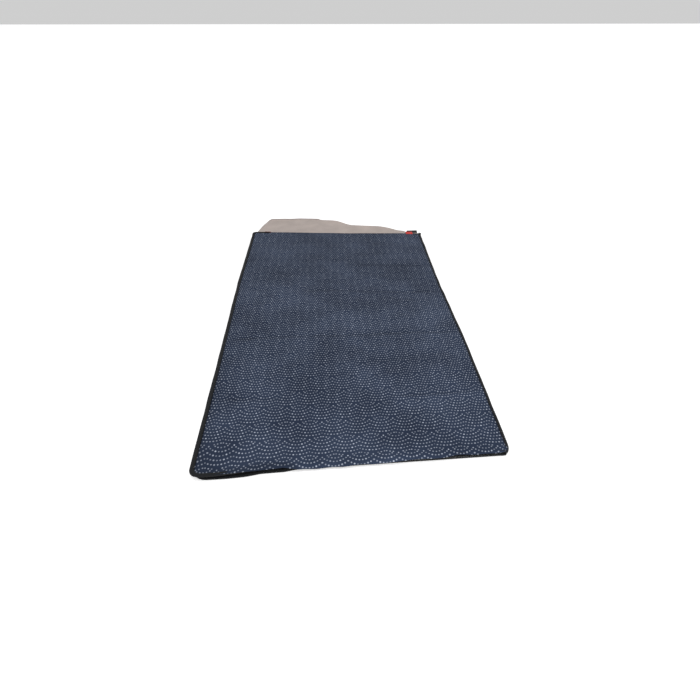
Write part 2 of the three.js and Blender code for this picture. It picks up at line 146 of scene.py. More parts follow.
def sweep(name, line, outward, profile, material, outScale=None, closed=True):
    # carries one profile of (out, up) points, or one for each place, along a line of (x, y, z)
    line, outward, profile = np.asarray(line), np.asarray(outward), np.asarray(profile)
    scale = np.ones(len(line)) if outScale is None else np.asarray(outScale)
    if profile.ndim == 2:
        profile = np.tile(profile, (len(line), 1, 1))
    count, ring = profile.shape[:2]
    out = profile[:, :, 0] * scale[:, None]
    points = np.stack([line[:, None, 0] + outward[:, None, 0] * out,
                       line[:, None, 1] + outward[:, None, 1] * out,
                       line[:, None, 2] + profile[:, :, 1]], -1).reshape(-1, 3)
    step = np.concatenate([[0], np.cumsum(np.hypot(*np.diff(line[:, :2], axis=0).T))])
    girth = np.concatenate([[0], np.cumsum(np.hypot(*np.diff(profile[0], axis=0).T))])
    cut = np.stack([np.repeat(step, ring), np.tile(girth, count)], 1)
    faces = []
    for i in range(count - 1):
        for j in range(ring if closed else ring - 1):
            k = (j + 1) % ring
            faces.append((i * ring + j, i * ring + k, (i + 1) * ring + k, (i + 1) * ring + j))
    if closed:
        faces += [tuple(range(ring))[::-1], tuple((count - 1) * ring + j for j in range(ring))]
    made = makeMesh(name, points, faces, cut=cut)
    made.data.materials.append(material)
    return made


def planLine(corners, step):
    # a plan polyline with rounded corners of (x, y, radius), and its outward (right-hand) directions
    points = []
    for i, (x, y, radius) in enumerate(corners):
        here = np.array([x, y])
        if radius == 0:
            points.append(here)
            continue
        before, after = np.array(corners[i - 1][:2]), np.array(corners[i + 1][:2])
        back = (before - here) / np.linalg.norm(before - here)
        ahead = (after - here) / np.linalg.norm(after - here)
        centre = here + (back + ahead) * radius
        for turn in np.linspace(0, math.pi / 2, 9):
            points.append(centre - ahead * radius * math.cos(turn) - back * radius * math.sin(turn))
    dense = [points[0]]
    for p, q in zip(points, points[1:]):
        steps = max(1, int(round(np.linalg.norm(q - p) / step)))
        dense += [p + (q - p) * k / steps for k in range(1, steps + 1)]
    dense = np.array(dense)
    along = np.gradient(dense, axis=0)
    along /= np.linalg.norm(along, axis=1)[:, None]
    return dense, np.stack([along[:, 1], -along[:, 0]], 1)


def swell(x, y, seed, size):
    # smooth random undulation, about -1 to 1, with features of roughly the given size in metres
    draw = np.random.RandomState(seed)
    waves, total = 7, 0 * x
    for _ in range(waves):
        angle, phase = draw.uniform(0, math.pi), draw.uniform(0, 2 * math.pi)
        pace = math.pi / size * draw.uniform(0.6, 1.4)
        total = total + np.sin(pace * (x * math.cos(angle) + y * math.sin(angle)) + phase)
    return total / waves ** 0.5 / 1.3


def smooth(value):
    value = np.clip(value, 0, 1)
    return value * value * (3 - 2 * value)


def finishPiece(piece, body, slot, *nodes):
    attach(piece, body)
    if nodes:
        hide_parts(*nodes)
    return piece


# camera, at standing height beyond the foot end

viewing = {"eye": (-0.0589, -2.0953, 1.1169), "pitch": 31.66, "yaw": 5.78, "roll": 0.15,
           "lens": 29.42, "sensor": 36.0, "shift": -0.043}
lens = bpy.data.cameras.new("camera")
lens.lens, lens.sensor_width, lens.shift_x = viewing["lens"], viewing["sensor"], viewing["shift"]
eye = bpy.data.objects.new("camera", lens)
eye.matrix_world = (Matrix.Translation(viewing["eye"])
                    @ Matrix.Rotation(math.radians(-viewing["yaw"]), 4, "Z")
                    @ Matrix.Rotation(math.radians(90 - viewing["pitch"]), 4, "X")
                    @ Matrix.Rotation(math.radians(viewing["roll"]), 4, "Z"))
bpy.context.scene.collection.objects.link(eye)
bpy.context.scene.camera = eye
print("camera placed")


# materials

bandPeriod = 0.314          # metres between the bands of a wave texture of scale 1


def wovenCloth(name, warp, weft, thread, roughness, sheen, bump, mottle=0.12, mottleSize=0.12):
    # plain-woven polyester: crossing threads give a fine matt tooth, the dye varies from patch to patch
    made, tree = newMaterial(name)
    at = {"Vector": add(tree, "TexCoord").outputs["Object"]}
    pace = bandPeriod / (2 * thread)             # one light and one dark thread per wave
    lengthwise, crosswise = (
        add(tree, "TexWave",
            {"bands_direction": way, "Scale": pace, "Distortion": 0.6, "Detail": 1.0}, at)
        for way in ("X", "Y"))
    tooth = add(tree, "Math", {"operation": "MULTIPLY"},
                {0: lengthwise.outputs["Fac"], 1: crosswise.outputs["Fac"]})
    patch = add(tree, "TexNoise", {"Scale": 1 / mottleSize, "Detail": 4.0}, at)
    threads = add(tree, "Mix", {"data_type": "RGBA", 6: linear(warp), 7: linear(weft)},
                  {0: tooth.outputs[0]})
    shade = add(tree, "MapRange", {"From Min": 0.3, "From Max": 0.7, "To Min": 1 - mottle,
                "To Max": 1 + mottle}, {"Value": patch.outputs["Fac"]})
    colour = add(tree, "VectorMath", {"operation": "SCALE"},
                 {0: threads.outputs[2], "Scale": shade.outputs[0]})
    relief = add(tree, "Bump", {"Strength": bump, "Distance": thread * 0.5},
                 {"Height": tooth.outputs[0]})
    rough = add(tree, "MapRange", {"To Min": roughness - 0.06, "To Max": roughness + 0.06},
                {"Value": patch.outputs["Fac"]})
    body = add(tree, "BsdfPrincipled",
               {"IOR": 1.5, "Specular IOR Level": 0.3, "Sheen Weight": sheen, "Sheen Roughness": 0.5},
               {"Base Color": colour.outputs[0], "Normal": relief.outputs[0],
                "Roughness": rough.outputs[0]})
    return finishMaterial(made, tree, body.outputs[0])


def solidFinish(name, dark, light, grain, roughness, metallic=0.0, ior=1.5, bump=0.2, relief=0.0002,
                coat=0.0):
    # moulded, cast or glazed parts: fine grain of a real size breaks up colour, gloss and surface
    made, tree = newMaterial(name)
    at = {"Vector": add(tree, "TexCoord").outputs["Object"]}
    speck = add(tree, "TexNoise", {"Scale": 1 / grain, "Detail": 5.0}, at)
    tone = add(tree, "Mix", {"data_type": "RGBA", 6: linear(dark), 7: linear(light)},
               {0: speck.outputs["Fac"]})
    rough = add(tree, "MapRange", {"To Min": roughness - 0.08, "To Max": roughness + 0.08},
                {"Value": speck.outputs["Fac"]})
    skin = add(tree, "Bump", {"Strength": bump, "Distance": relief},
               {"Height": speck.outputs["Fac"]})
    body = add(tree, "BsdfPrincipled", {"Metallic": metallic, "IOR": ior, "Coat Weight": coat},
               {"Base Color": tone.outputs[2], "Roughness": rough.outputs[0],
                "Normal": skin.outputs[0]})
    return finishMaterial(made, tree, body.outputs[0])


# sizes of the print in millimetres: fans of arcs in staggered rows, dots strung along the arcs
dotPlan = {"columnPitch": 72.4, "rowPitch": 78.0, "columnStart": 18.4, "rowStart": 879.8,
           "fanCentre": 100.0, "firstRing": 31.0, "ringPitch": 13.5, "dotPitch": 9.55,
           "smallDot": 1.92, "growth": 0.34, "blur": 0.95, "dimmest": 0.72,
           # a fan is cut off at these heights and at this half width
           "lowest": 1.8, "highest": 76.0, "widest": 38.0,
           # bigger, brighter dots: two lines that open upwards and then close, and the fan's upper corners
           "openSlope": 0.385, "openFrom": 1.65, "closeSlope": -0.51, "closeFrom": 42.1,
           "lineHalf": 3.6, "lineTop": 66.0, "cuspSide": 33.0, "cuspLow": 67.0,
           "ground": "273043", "groundWorn": "343E52", "dot": "BBC3D2"}
# sizes in metres of what varies over the printed face, and how strongly painted shade darkens it in the
# creases and beside the bindings
facePlan = {"ink": 0.008, "widePatch": 0.25, "closePatch": 0.03, "yarn": 0.0012, "paintedShade": -0.20}


def dottedPolyester():
    # printed polyester: navy ground, pale dots strung on U-shaped arcs in staggered fans, matt
    made, tree = newMaterial("dottedPolyester")
    plan = add(tree, "UVMap", {"uv_map": "cutPlan"})
    split = add(tree, "SeparateXYZ", {}, {0: plan.outputs[0]})
    at = {"Vector": plan.outputs[0]}
    d, f = dotPlan, facePlan
    values = {"x": split.outputs[0], "y": split.outputs[1]}
    # result, operation, terms; a name is an earlier result, in millimetres
    steps = [
        ("across", "MULTIPLY_ADD", "x", 1000.0, d["columnStart"]),
        ("along", "MULTIPLY_ADD", "y", 1000.0, d["rowStart"]),
        ("rowAt", "DIVIDE", "along", d["rowPitch"]),
        ("row", "FLOOR", "rowAt"),
        ("up", "FLOORED_MODULO", "along", d["rowPitch"]),
        ("odd", "FLOORED_MODULO", "row", 2.0),
        ("moved", "MULTIPLY_ADD", "odd", d["columnPitch"] / 2, "across"),
        ("side", "WRAP", "moved", d["columnPitch"] / 2, -d["columnPitch"] / 2),
        ("down", "SUBTRACT", d["fanCentre"], "up"),
        ("sideSquare", "MULTIPLY", "side", "side"),
        ("radiusSquare", "MULTIPLY_ADD", "down", "down", "sideSquare"),
        ("radius", "SQRT", "radiusSquare"),
        ("angle", "ARCTAN2", "side", "down"),
        ("fromFirst", "SUBTRACT", "radius", d["firstRing"]),
        ("ringAt", "DIVIDE", "fromFirst", d["ringPitch"]),
        ("ring", "ROUND", "ringAt"),
        ("ringRadius", "MULTIPLY_ADD", "ring", d["ringPitch"], d["firstRing"]),
        ("offRing", "SUBTRACT", "radius", "ringRadius"),
        ("ringOdd", "FLOORED_MODULO", "ring", 2.0),
        ("arc", "MULTIPLY", "angle", "ringRadius"),
        ("arcAt", "DIVIDE", "arc", d["dotPitch"]),
        ("arcMoved", "MULTIPLY_ADD", "ringOdd", -0.5, "arcAt"),
        ("place", "ROUND", "arcMoved"),
        ("offPlace", "SUBTRACT", "arcMoved", "place"),
        ("offArc", "MULTIPLY", "offPlace", d["dotPitch"]),
        ("offArcSquare", "MULTIPLY", "offArc", "offArc"),
        ("distanceSquare", "MULTIPLY_ADD", "offRing", "offRing", "offArcSquare"),
        ("distance", "SQRT", "distanceSquare"),
        ("dotArc", "MULTIPLY_ADD", "ringOdd", 0.5, "place"),
        ("dotTurn", "MULTIPLY", "dotArc", d["dotPitch"]),
        ("dotAngle", "DIVIDE", "dotTurn", "ringRadius"),
        ("sine", "SINE", "dotAngle"),
        ("cosine", "COSINE", "dotAngle"),
        ("dotSideSigned", "MULTIPLY", "sine", "ringRadius"),
        ("dotSide", "ABSOLUTE", "dotSideSigned"),
        ("dotDrop", "MULTIPLY", "cosine", "ringRadius"),
        ("dotUp", "SUBTRACT", d["fanCentre"], "dotDrop"),
        ("rising", "MULTIPLY_ADD", "dotUp", d["openSlope"], d["openFrom"]),
        ("falling", "MULTIPLY_ADD", "dotUp", d["closeSlope"], d["closeFrom"]),
        ("line", "MINIMUM", "rising", "falling"),
        ("offLineSigned", "SUBTRACT", "dotSide", "line"),
        ("offLine", "ABSOLUTE", "offLineSigned"),
        ("onLine", "LESS_THAN", "offLine", d["lineHalf"]),
        ("lowEnough", "LESS_THAN", "dotUp", d["lineTop"]),
        ("lineDot", "MULTIPLY", "onLine", "lowEnough"),
        ("atCusp", "GREATER_THAN", "dotSide", d["cuspSide"]),
        ("highEnough", "GREATER_THAN", "dotUp", d["cuspLow"]),
        ("cuspDot", "MULTIPLY", "atCusp", "highEnough"),
        ("bright", "MAXIMUM", "lineDot", "cuspDot"),
        ("dotRadius", "MULTIPLY_ADD", "bright", d["growth"], d["smallDot"]),
        ("outside", "SUBTRACT", "distance", "dotRadius"),
        ("edge", "DIVIDE", "outside", -2 * d["blur"]),
        ("cover", "ADD", "edge", 0.5),
        ("inLow", "GREATER_THAN", "dotUp", d["lowest"]),
        ("inHigh", "LESS_THAN", "dotUp", d["highest"]),
        ("inSide", "LESS_THAN", "dotSide", d["widest"]),
        ("inBand", "MULTIPLY", "inLow", "inHigh"),
        ("kept", "MULTIPLY", "inBand", "inSide"),
        ("tone", "MULTIPLY_ADD", "bright", 1 - d["dimmest"], d["dimmest"]),
        ("level", "MULTIPLY", "tone", "kept"),
    ]
    for result, operation, *terms in steps:
        step = add(tree, "Math", {"operation": operation, "use_clamp": result == "cover"},
                   {i: values[term] for i, term in enumerate(terms) if isinstance(term, str)})
        for i, term in enumerate(terms):
            if not isinstance(term, str):
                step.inputs[i].default_value = term
        values[result] = step.outputs[0]
    # the ink is thinner on some dots than on others
    ink = add(tree, "TexNoise", {"Scale": 1 / f["ink"], "Detail": 2.0}, at)
    uneven = add(tree, "MapRange", {"From Min": 0.3, "From Max": 0.7, "To Min": 0.38, "To Max": 1.2},
                 {"Value": ink.outputs["Fac"]})
    mask = add(tree, "Math", {"operation": "MULTIPLY"}, {0: values["cover"], 1: values["level"]})
    printed = add(tree, "Math", {"operation": "MULTIPLY"}, {0: mask.outputs[0], 1: uneven.outputs[0]})
    # brushed face of the cloth: soft patches, large and small, where the nap lies another way
    wide = add(tree, "TexNoise", {"Scale": 1 / f["widePatch"], "Detail": 3.0, "Roughness": 0.55}, at)
    close = add(tree, "TexNoise", {"Scale": 1 / f["closePatch"], "Detail": 5.0, "Roughness": 0.65}, at)
    nap = add(tree, "Math", {"operation": "MULTIPLY_ADD", 1: 0.45},
              {0: close.outputs["Fac"], 2: wide.outputs["Fac"]})
    napTone = add(tree, "MapRange", {"From Min": 0.50, "From Max": 0.95}, {"Value": nap.outputs[0]})
    ground = add(tree, "Mix", {"data_type": "RGBA", 6: linear(d["ground"]), 7: linear(d["groundWorn"])},
                 {0: napTone.outputs[0]})
    colour = add(tree, "Mix", {"data_type": "RGBA", 7: linear(d["dot"])},
                 {0: printed.outputs[0], 6: ground.outputs[2]})
    # the whole face is lighter and darker from patch to patch, as the nap lies
    patch = add(tree, "MapRange",
                {"From Min": 0.35, "From Max": 0.65, "To Min": 0.88, "To Max": 1.10},
                {"Value": wide.outputs["Fac"]})
    # and painted shade: darker in the creases and beside the bindings, where shade falls
    crease = add(tree, "Attribute", {"attribute_name": "creaseShade"})
    paintedShadeFactor = add(tree, "Math", {"operation": "MULTIPLY_ADD", 1: f["paintedShade"]},
                    {0: crease.outputs["Fac"], 2: patch.outputs[0]})
    shaded = add(tree, "VectorMath", {"operation": "SCALE"},
                 {0: colour.outputs[2], "Scale": paintedShadeFactor.outputs[0]})
    # 1.2 mm yarn ribs, the real 0.3 mm yarns drawn coarser so that they show
    yarn = add(tree, "TexWave",
               {"bands_direction": "DIAGONAL", "Scale": bandPeriod / f["yarn"] / 2, "Distortion": 1.0,
                "Detail": 1.0}, at)
    height = add(tree, "Math", {"operation": "MULTIPLY_ADD", 1: 0.5},
                 {0: yarn.outputs["Fac"], 2: close.outputs["Fac"]})
    relief = add(tree, "Bump", {"Strength": 0.35, "Distance": 0.0008},
                 {"Height": height.outputs[0]})
    body = add(tree, "BsdfPrincipled",
               {"Roughness": 0.88, "IOR": 1.5, "Specular IOR Level": 0.06, "Sheen Weight": 0.01,
                "Sheen Roughness": 0.5}, {"Base Color": shaded.outputs[0], "Normal": relief.outputs[0]})
    return finishMaterial(made, tree, body.outputs[0])


navyCloth = dottedPolyester()
# grosgrain polyester tape: matt black, fine ribs across, drawn 1.5 mm apart
bindingTape = wovenCloth("grosgrainBinding", "08090C", "14161B", 0.0015, 0.76, 0.02, 0.5)
# unprinted back of the navy polyester: plain, a little duller than the face
navyBack = wovenCloth("navyClothBack", "1B2231", "262F41", 0.0012, 0.88, 0.02, 0.3)
# calendered polyester backing cloth: flat black, slightly grey where it is scuffed
backingCloth = wovenCloth("calenderedBacking", "101218", "1A1D24", 0.0012, 0.80, 0.02, 0.3, mottle=0.2)
# polyurethane-coated polyester: grey-beige, satin, faintly blotched
liningCloth = wovenCloth("coatedLining", "B5A8A1", "C6BAB4", 0.0016, 0.50, 0.02, 0.15, mottle=0.09,
                         mottleSize=0.07)
# overlocked edge: brown-purple polyester thread, fuzzy and ribbed
edgeThread = wovenCloth("overlockEdge", "6A5654", "86706A", 0.0012, 0.85, 0.2, 0.6)
# nylon webbing: saturated red, ribbed along the loops
redWebbing = wovenCloth("redWebbing", "C61F1A", "DE3A2C", 0.0014, 0.60, 0.15, 0.5)
# the left-hand tab sits in the shade of the hem: a darker copy of the red webbing, painted shade
shadedRedWebbing = wovenCloth("redWebbingPaintedShade", "5E1719", "7A2223", 0.0014, 0.65, 0.15, 0.5)
# needle-punched wadding: off-white, matt, tangled 2 mm fibres
wadding = solidFinish("needledWadding", "C9C5BA", "E8E5DC", 0.004, 0.92, bump=0.8, relief=0.001)
# vacuum-metallised film: bright, crinkled on a 6 mm scale
foil = solidFinish("metallisedFilm", "B5B8BC", "DADDE0", 0.006, 0.26, metallic=1.0, bump=0.6, relief=0.0006)
# spun-bonded polypropylene: off-white, embossed on a 2 mm scale
nonwoven = solidFinish("spunbondCarrier", "D6D0C4", "EFEBE2", 0.002, 0.85, bump=0.6, relief=0.0003)
# extruded silicone rubber: dark red, smooth, slightly greasy gloss
silicone = solidFinish("siliconeJacket", "8E2A1F", "A63A2B", 0.003, 0.38, ior=1.41, bump=0.1)
# drawn nylon monofilament: black, semi-gloss
nylon = solidFinish("nylonFilament", "0E0F12", "1D1F24", 0.002, 0.42, ior=1.53, bump=0.15)
# die-cast zinc under stoved black paint: soft gloss with slight orange peel, worn grey in places
paintedZinc = solidFinish("stovedBlackZinc", "121316", "26282C", 0.0015, 0.34, bump=0.2, coat=0.3)
# injection-moulded ABS with a spark-eroded face: matt black, 0.4 mm grain
moulded = solidFinish("sparkErodedAbs", "08090A", "121315", 0.0004, 0.70, bump=0.4)
# glazed steatite: warm white, glossy
steatite = solidFinish("glazedSteatite", "DDD8CB", "EEEBE1", 0.006, 0.16, bump=0.05, coat=0.6)
# turned brass, lightly handled
brass = solidFinish("turnedBrass", "A9813A", "D0A95C", 0.0012, 0.28, metallic=1.0, bump=0.1)

carriedOver = {
    silicone: ["base_heating_wire", "cover_heating_wire", "base_lead_near", "base_lead_far",
               "base_branch_lead", "cover_lead_near", "cover_lead_far"],
    nylon: ["base_side_zip_stop", "cover_side_zip_stop", "base_foot_zip_stop", "cover_foot_zip_stop",
            "side_zip_box", "foot_zip_box", "side_zip_pin", "foot_zip_pin"],
    paintedZinc: ["side_zip_slider", "side_zip_pull", "foot_zip_slider", "foot_zip_pull"],
    moulded: ["inlet_housing"],
    steatite: ["inlet_insert", "base_temperature_sensor", "cover_temperature_sensor", "base_thermal_cutout",
               "cover_thermal_cutout"],
    brass: ["inlet_pin_1", "inlet_pin_2", "inlet_pin_3"],
}
for material, names in carriedOver.items():
    for name in names:
        for holder in parts[name].material_slots:
            holder.material = material
print("materials made")


# the lie of the blanket: how its edges and its top wander from the square frame

lie = {"halfWide": 0.450, "head": 0.900,
       # how far the long edges stray, at these shares of the run that starts near the foot
       "wanderStart": -0.88, "wanderRun": 1.78, "knots": (0.0, 0.33, 0.66, 1.0),
       "leftWander": (-0.003, -0.003, -0.005, 0.007), "rightWander": (-0.013, -0.003, -0.005, 0.008),
       "hemLeft": 0.045, "hemRight": -0.045,
       "top": 0.0224, "lowest": 0.0212, "highest": 0.0246, "swellHeight": 0.0009, "smallSwell": 0.0005,
       "edgeDip": 0.0016, "dipLeft": 0.4435, "dipRight": 0.440, "dipWide": 0.02,
       "cornerLift": 0.0062, "liftAcross": 0.55, "liftAlong": 0.13,
       "overhang": 0.024, "overhangX": -0.185, "overhangY": -0.78, "fadeX": 0.22, "fadeY": 0.11}
creases = (   # y on the blanket, slope, x from, x to, depth, half width
    (-0.207, 0.010, -0.46, 0.46, 0.0022, 0.009),
    (-0.614, 0.030, 0.10, 0.46, 0.0020, 0.008),
    (-0.600, -0.02, -0.46, -0.18, 0.0016, 0.008),
    (0.180, -0.060, -0.20, 0.46, 0.0022, 0.010),
    (0.205, 0.020, -0.46, -0.24, 0.0014, 0.009),
    (0.470, -0.050, 0.05, 0.46, 0.0018, 0.014),
    (-0.400, 0.090, 0.05, 0.40, 0.0010, 0.014),
)


def acrossShare(x):
    # 0 at the zip side, 1 at the fold
    return (x + lie["halfWide"]) / (2 * lie["halfWide"])


def alongShare(y):
    # 0 at the foot, 1 at the head
    return np.clip((y + lie["head"]) / (2 * lie["head"]), 0, 1.05)


def wander(x, y, creep):
    # moves a point of the square plan to where the cloth really lies
    t = (y - lie["wanderStart"]) / lie["wanderRun"]
    u = np.clip(acrossShare(x), 0, 1)
    # only the cover wanders on the zip side; both halves do at the fold
    dx = (creep * np.interp(t, lie["knots"], lie["leftWander"]) * (1 - u)
          + np.interp(t, lie["knots"], lie["rightWander"]) * u)
    dy = (lie["hemLeft"] * (1 - u) + lie["hemRight"] * u) * alongShare(y) * creep
    # the cover lies out over the zip at the foot's left corner
    out = smooth((lie["overhangX"] - x) / lie["fadeX"]) * smooth((lie["overhangY"] - y) / lie["fadeY"])
    return x + dx, y + dy - creep * lie["overhang"] * out


def cornerLift(x, y):
    # the cover's head corner on the zip side stands up a little
    nearZip = np.clip(1 - (x + lie["halfWide"]) / lie["liftAcross"], 0, 1)
    nearHead = np.clip(1 - (lie["head"] - y) / lie["liftAlong"], 0, 1)
    return lie["cornerLift"] * nearZip ** 1.3 * nearHead ** 2


def creasesAt(x, y):
    # for each crease: how much of it is here, its depth, the distance from its bottom in half widths
    for at, slope, start, end, depth, wide in creases:
        off = y - (at + slope * x + 0.004 * np.sin(x * 14 + at * 9))
        yield smooth((x - start) / 0.10) * smooth((end - x) / 0.10), depth, off / wide


# how strongly painted shade darkens the nap beside each edge, and within how many metres
paintedEdgeShade = {"zip": (1.5, 0.011), "fold": (1.0, 0.010), "hem": (0.8, 0.020), "foot": (1.5, 0.010)}


def creaseShade(x, y):
    # how much painted shade darkens the nap: in the creases and close to the bindings
    deepest = max(crease[4] for crease in creases)
    shade = sum(share * depth / deepest * np.exp(-(off / 1.1) ** 2)
                for share, depth, off in creasesAt(x, y))
    for edge, away, share in (("zip", x - coverCloth["left"], smooth((lie["head"] - y) / 0.8)),
                              ("fold", coverCloth["right"] - x, 1), ("hem", lie["head"] - y, 1),
                              ("foot", y - coverCloth["rollStart"], smooth((-0.15 - x) / 0.15))):
        amount, width = paintedEdgeShade[edge]
        shade = shade + np.minimum(amount * np.exp(-away / width) * share, amount)
    return shade


def coverTop(x, y):
    height = (lie["top"] + lie["swellHeight"] * swell(x, y, 11, 0.30)
              + lie["smallSwell"] * swell(x, y, 12, 0.09))
    for share, depth, off in creasesAt(x, y):
        # a groove with a low ridge pushed up beside it
        height = height + share * depth * (0.55 * np.exp(-((off - 1.8) / 1.7) ** 2) - np.exp(-off ** 2))
    fromEdge = np.minimum(x + lie["dipLeft"], lie["dipRight"] - x)
    dip = lie["edgeDip"] * np.clip(1 - fromEdge / lie["dipWide"], 0, 1) ** 2
    return np.clip(height, lie["lowest"], lie["highest"]) - dip + cornerLift(x, y)


# cover cloth: dotted panel that rolls over the foot end as a placket

coverCloth = {"left": -0.4435, "right": 0.4440, "rollStart": -0.889, "rollRadius": 0.011,
              "reach": -0.9135, "reachChange": 0.0065, "dropEnd": 0.0085, "dropEndRight": 0.0174,
              "thickness": 0.0010, "gridRun": 0.05,
              # how far the cloth goes on past the start of its roll, at places along the foot
              "footRun": ((-0.430, 0.0073), (-0.360, 0.0101), (-0.304, 0.0155), (-0.260, 0.0195),
                          (-0.200, 0.0215), (-0.168, 0.0280), (-0.130, 0.0400)),
              # the rounded foot corners: where each starts, its length, its inset; how far in it fades
              "leftCorner": (0.900, 0.022, 0.016), "rightCorner": (0.9100, 0.030, 0.017),
              "cornerFade": 0.05}


def footRoll(x, y):
    # for a place on the cloth: its line across, its run past the roll's start, the flat part, the height
    c = coverCloth
    main = np.maximum(y, c["rollStart"])
    beyond = np.maximum(c["rollStart"] - y, 0) / c["gridRun"]        # 0 to 1 down the placket
    reach = (c["reach"] + c["reachChange"] * acrossShare(x)
             + 0.0009 * np.sin(x * 47) + 0.0006 * np.sin(x * 83 + 1))
    top = coverTop(x, main)
    flat = c["rollStart"] - (reach + c["rollRadius"])
    end = c["dropEnd"] + (c["dropEndRight"] - c["dropEnd"]) * smooth((x + 0.1) / 0.48)
    end = end + 0.0011 * np.sin(x * 39 + 2) + 0.0008 * np.sin(x * 71)
    # the cloth stops short on its bend where its edge hangs less far down than the bend's radius
    drop = top - end
    rolled = c["rollRadius"] * np.arccos(np.clip(1 - drop / c["rollRadius"], 0, 1))
    fullRun = flat + rolled + np.maximum(drop - c["rollRadius"], 0)
    total = np.minimum(fullRun, np.interp(x, *zip(*c["footRun"])))
    return main, beyond * total, flat, top


def coverCutAt(x, y):
    # where a point was on the cloth before it was rolled over
    main, run, _, _ = footRoll(x, y)
    return x, main - run


def coverClothAt(x, y):
    c = coverCloth
    main, run, flat, top = footRoll(x, y)
    bend = c["rollRadius"] * math.pi / 2
    angle = np.clip((run - flat) / c["rollRadius"], 0, math.pi / 2)
    past = np.maximum(run - flat - bend, 0)
    py = main - np.minimum(run, flat) - c["rollRadius"] * np.sin(angle)
    pz = top - c["rollRadius"] * (1 - np.cos(angle)) - past
    px = x
    for (start, radius, depth), line, fromEdge, way in ((c["leftCorner"], main, x - c["left"], 1),
                                                        (c["rightCorner"], py, c["right"] - x, -1)):
        near = np.clip(1 - (line + start) / radius, 0, 1)
        inset = depth * (1 - np.sqrt(1 - near ** 2))
        px = px + way * inset * np.clip(1 - fromEdge / c["cornerFade"], 0, 1)
    px, py = wander(px, py, 1.0)
    return px, py, pz


across = np.linspace(coverCloth["left"], coverCloth["right"], 221)
along = np.concatenate([coverCloth["rollStart"] - coverCloth["gridRun"] * np.linspace(1, 0, 19)[:-1],
                        np.linspace(coverCloth["rollStart"], lie["head"], 400)])
coverPiece = clothMesh("cover_cloth", across, along, coverClothAt, coverCloth["thickness"], navyCloth,
                       back=navyBack, cutAt=coverCutAt)
# painted shade for the cloth's colour, in the creases and beside the bindings
shadeLayer = coverPiece.data.attributes.new("creaseShade", "FLOAT", "POINT")
shadeLayer.data.foreach_set("value", creaseShade(*np.meshgrid(across, along, indexing="ij")).ravel())
finishPiece(coverPiece, "cover", "navy_dotted_cloth", "cover_outer_shell", "cover_foot_placket")

# hem facing: the narrow dark strip turned under along the head hem
facing = {"depth": 0.004, "drop": 0.0080, "bulge": 0.0022, "thickness": 0.0008}


def facingAt(x, y):
    t = (lie["head"] - y) / facing["depth"]                # 0 at the far end, 1 where it meets the cloth
    px, py = wander(x, lie["head"] + 0 * y, 1.0)
    top = coverTop(x, lie["head"] + 0 * y)
    turn = np.clip(t, 0, 1) * math.pi / 2
    return (px, py + facing["bulge"] * np.cos(turn) - 0.0006,
            top - 0.0002 - facing["drop"] * (1 - np.sin(turn)))


facingPiece = clothMesh("cover_hem_facing", np.linspace(-0.4435, 0.4400, 150),
                        np.linspace(lie["head"] - facing["depth"], lie["head"], 7), facingAt,
                        facing["thickness"], bindingTape)
finishPiece(facingPiece, "cover", "black_cloth")
print("cover cloth laid")

# bindings: soft folded tape round the open edges of both halves

coverBand = {"low": 0.0163, "high": 0.0066, "pressedDown": 0.0046, "puff": 0.0036}
bandProfile = [(0.0000, 0.0058), (0.0020, 0.0064), (0.0060, 0.0066), (0.0100, 0.0061), (0.0126, 0.0046),
               (0.0135, 0.0028), (0.0128, 0.0010), (0.0110, 0.0002), (0.0060, 0.0000), (0.0015, 0.0003)]
lineStep = 0.006
coverLine, coverOut = planLine([(-0.3617, 0.8870, 0), (-0.4435, 0.8870, 0.008),
                                (-0.4435, -0.8900, 0.020), (0.4300, -0.8900, 0)], lineStep)
atX, atY = coverLine[:, 0], coverLine[:, 1]
movedX, movedY = wander(atX, atY, 1.0)
rise = cornerLift(atX, atY)
footEdge = np.clip((-0.885 - atY) / 0.004, 0, 1)
# under the placket the band is pressed flat and drawn in
hidden = footEdge * (0.28 * smooth((atX + 0.425) / 0.05) + 0.72 * smooth((atX + 0.355) / 0.06))
bandZ = (coverBand["low"] + rise + 0.0003 * (1 + swell(atX, atY, 21, 0.05))
         - coverBand["pressedDown"] * hidden)
bandOut = (1 + 0.05 * swell(atX, atY, 22, 0.06) - 0.13 * footEdge
           - (0.22 + 0.32 * acrossShare(atX)) * hidden)
# where the corner lifts, the tape puffs up over the cloth and hangs down below it
puff = (smooth((atY - 0.80) / 0.07) * smooth((-0.33 - atX) / 0.05))[:, None]
bandProfiles = np.tile(bandProfile, (len(coverLine), 1, 1))
bandProfiles[:, :, 1] += puff * (coverBand["puff"] - 1.1 * (coverBand["high"] - bandProfiles[:, :, 1]))
coverBandPiece = sweep("cover_binding_tape", np.stack([movedX, movedY, bandZ], 1), coverOut, bandProfiles,
                       bindingTape, outScale=bandOut)
finishPiece(coverBandPiece, "cover", "black_cloth", "cover_binding")

baseBand = [(0.0000, 0.0098), (0.0040, 0.0102), (0.0090, 0.0096), (0.0118, 0.0078), (0.0126, 0.0052),
            (0.0120, 0.0020), (0.0100, 0.0004), (0.0050, 0.0001), (0.0000, 0.0003)]
baseLine, baseOut = planLine([(0.4370, 0.8872, 0), (-0.4377, 0.8872, 0.010),
                              (-0.4377, -0.8872, 0.026), (0.4300, -0.8872, 0)], lineStep)
atX, atY = baseLine[:, 0], baseLine[:, 1]
movedX, movedY = wander(atX, atY, 0.0)
# at the foot's left corner the lower half lies flattened out beyond the cover
flared = [(0.0000, 0.0098), (0.0040, 0.0102), (0.0100, 0.0090), (0.0122, 0.0060), (0.0220, 0.0058),
          (0.0350, 0.0048), (0.0375, 0.0018), (0.0250, 0.0002), (0.0000, 0.0003)]
flareX = np.interp(-atX, (0.130, 0.165, 0.200, 0.265, 0.286, 0.307, 0.36),
                   (0, 0.20, 0.50, 0.56, 0.74, 0.91, 1.0))
flare = (flareX * smooth((-0.862 - atY) / 0.035))[:, None, None]
